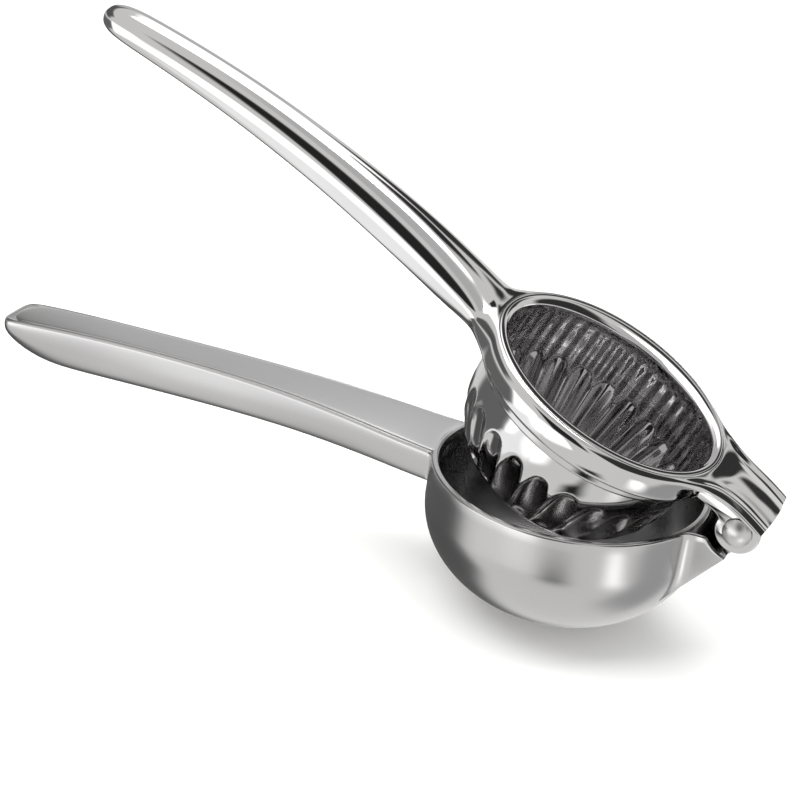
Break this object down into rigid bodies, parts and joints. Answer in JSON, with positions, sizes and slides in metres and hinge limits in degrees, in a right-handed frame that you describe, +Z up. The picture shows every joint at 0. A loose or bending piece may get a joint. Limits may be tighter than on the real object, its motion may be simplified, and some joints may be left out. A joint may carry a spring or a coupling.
{
  "type": "hinged lemon squeezer",
  "caption": "Hinged hand press for citrus halves: a deep drained bowl on the lower handle, and a fluted press cup in a ring on the upper handle, joined by a rivet.",
  "frame": {"origin": "centre of the flat under the bowl", "axes": "+X from the handle ends to the hinge, +Y along the hinge pin, +Z up along the bowl's axis"},
  "size_m": [0.2359, 0.078, 0.1376],
  "materials": {
    "satin_steel": "satin",
    "polished_steel": "mirror polished"
  },
  "bodies": {
    "lower_arm": {"bowl": "satin_steel", "hinge_bracket": "satin_steel", "hinge_knuckle": "satin_steel", "lower_handle_shell": "satin_steel", "lower_handle_plate": "satin_steel"},
    "upper_arm": {"press_ring": "polished_steel", "press_cup": "polished_steel", "hinge_cover": "polished_steel", "hinge_lug_near": "polished_steel", "hinge_lug_far": "polished_steel", "hinge_rivet": "polished_steel", "rivet_cap": "polished_steel", "upper_handle_shell": "polished_steel", "upper_handle_plate": "polished_steel"}
  },
  "joints": [
    {"name": "arm_hinge", "type": "hinge", "parent": "lower_arm", "child": "upper_arm", "pos_m": [0.0499, 0, 0.044], "axis": [0, 1, 0], "range_deg": [-23.4, 90]}
  ]
}
